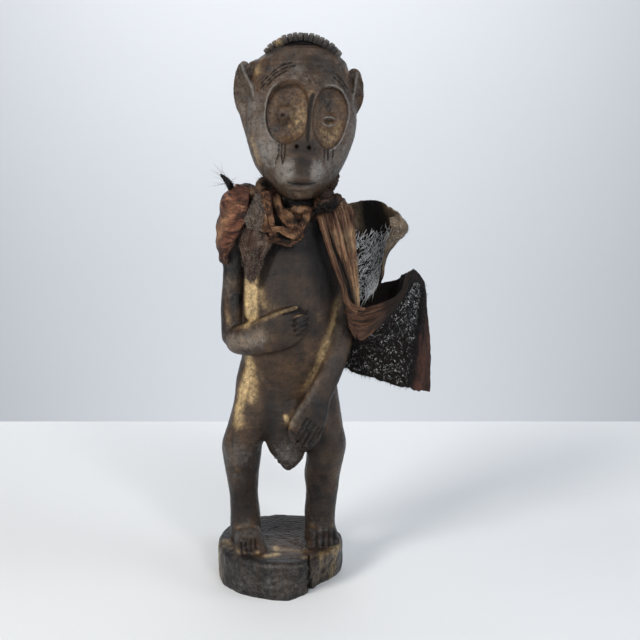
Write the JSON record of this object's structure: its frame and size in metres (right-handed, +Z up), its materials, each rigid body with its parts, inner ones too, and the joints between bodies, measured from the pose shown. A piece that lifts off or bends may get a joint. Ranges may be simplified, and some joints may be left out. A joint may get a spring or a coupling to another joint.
{
  "type": "carved wooden mbaka figure",
  "caption": "Standing carved wooden figure with a monkey's face on a round base, one hand on the belly, wearing an old furred animal hide knotted at the neck.",
  "frame": {"origin": "middle of the base's flat underside", "axes": "+Z up, the figure faces -Y, +X to the right as seen from the front"},
  "size_m": [0.1779, 0.1107, 0.45],
  "materials": {
    "wood": "old dark oiled wood, satin, rubbed to ochre in places",
    "fur_hide": "old hide with short glossy black hair, bare and brown along its edges",
    "bare_hide": "dry wrinkled bare hide, matt orange-brown"
  },
  "bodies": {
    "root": {"carved_figure": "wood", "hide_cape": "fur_hide", "shoulder_hide": "bare_hide", "hanging_flap": "fur_hide", "neck_ties": "bare_hide"}
  },
  "joints": []
}
